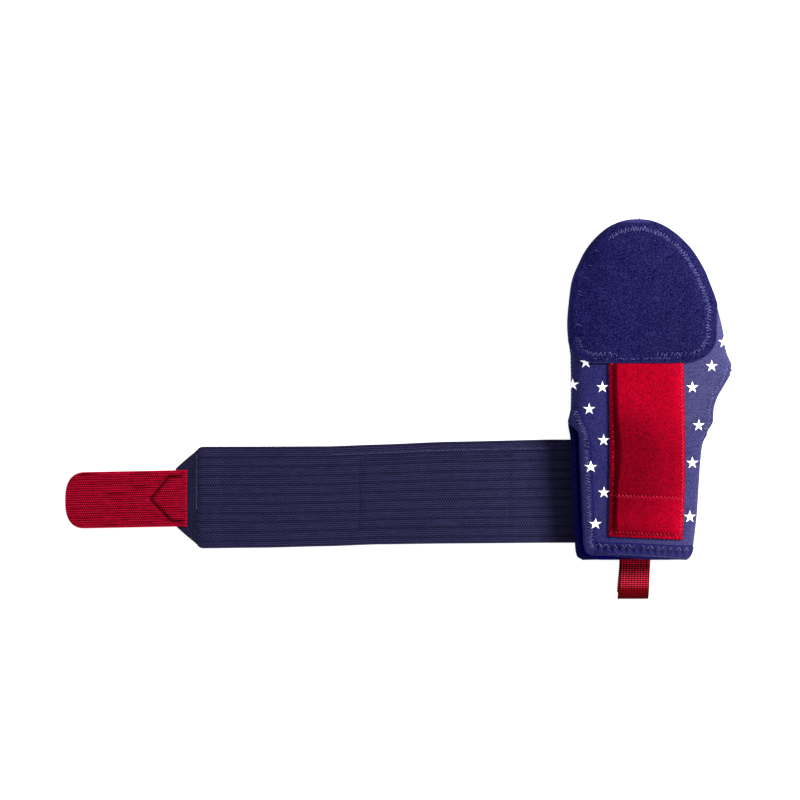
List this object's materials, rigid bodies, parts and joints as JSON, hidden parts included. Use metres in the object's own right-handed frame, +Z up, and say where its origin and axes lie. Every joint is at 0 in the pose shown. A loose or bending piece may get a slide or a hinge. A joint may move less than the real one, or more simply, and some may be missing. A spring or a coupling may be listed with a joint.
{
  "type": "sliding mitt",
  "caption": "Padded neoprene hand sleeve, closed over the fingers, with a thumb opening, a side slit, a raised centre pad, a wrist strap with closure tab and a pull loop.",
  "frame": {"origin": "on the flat underside of the back panel, under the middle of the palm, where the mitt rests", "axes": "+X across the mitt towards the thumb opening (the strap runs out along -X), +Y from the wrist to the fingertips, +Z up out of the front panel"},
  "size_m": [0.5609, 0.3194, 0.0392],
  "materials": {
    "neoprene": "jersey-faced neoprene, matt",
    "loop_fabric": "brushed loop fabric, matt",
    "red_nap": "short brushed nap, matt",
    "red_webbing": "ribbed webbing",
    "elastic": "ribbed woven elastic",
    "hooks": "moulded hook tape"
  },
  "bodies": {
    "root": {"front_panel": "neoprene", "back_panel": "neoprene", "side_hem": "neoprene", "wrist_hem": "neoprene", "thumb_hem": "neoprene", "finger_cap": "loop_fabric", "center_pad": "red_nap", "pull_loop": "red_webbing", "closure_tab": "red_webbing", "wrist_strap": "elastic", "strap_end": "elastic", "hook_patch": "hooks"}
  },
  "joints": []
}
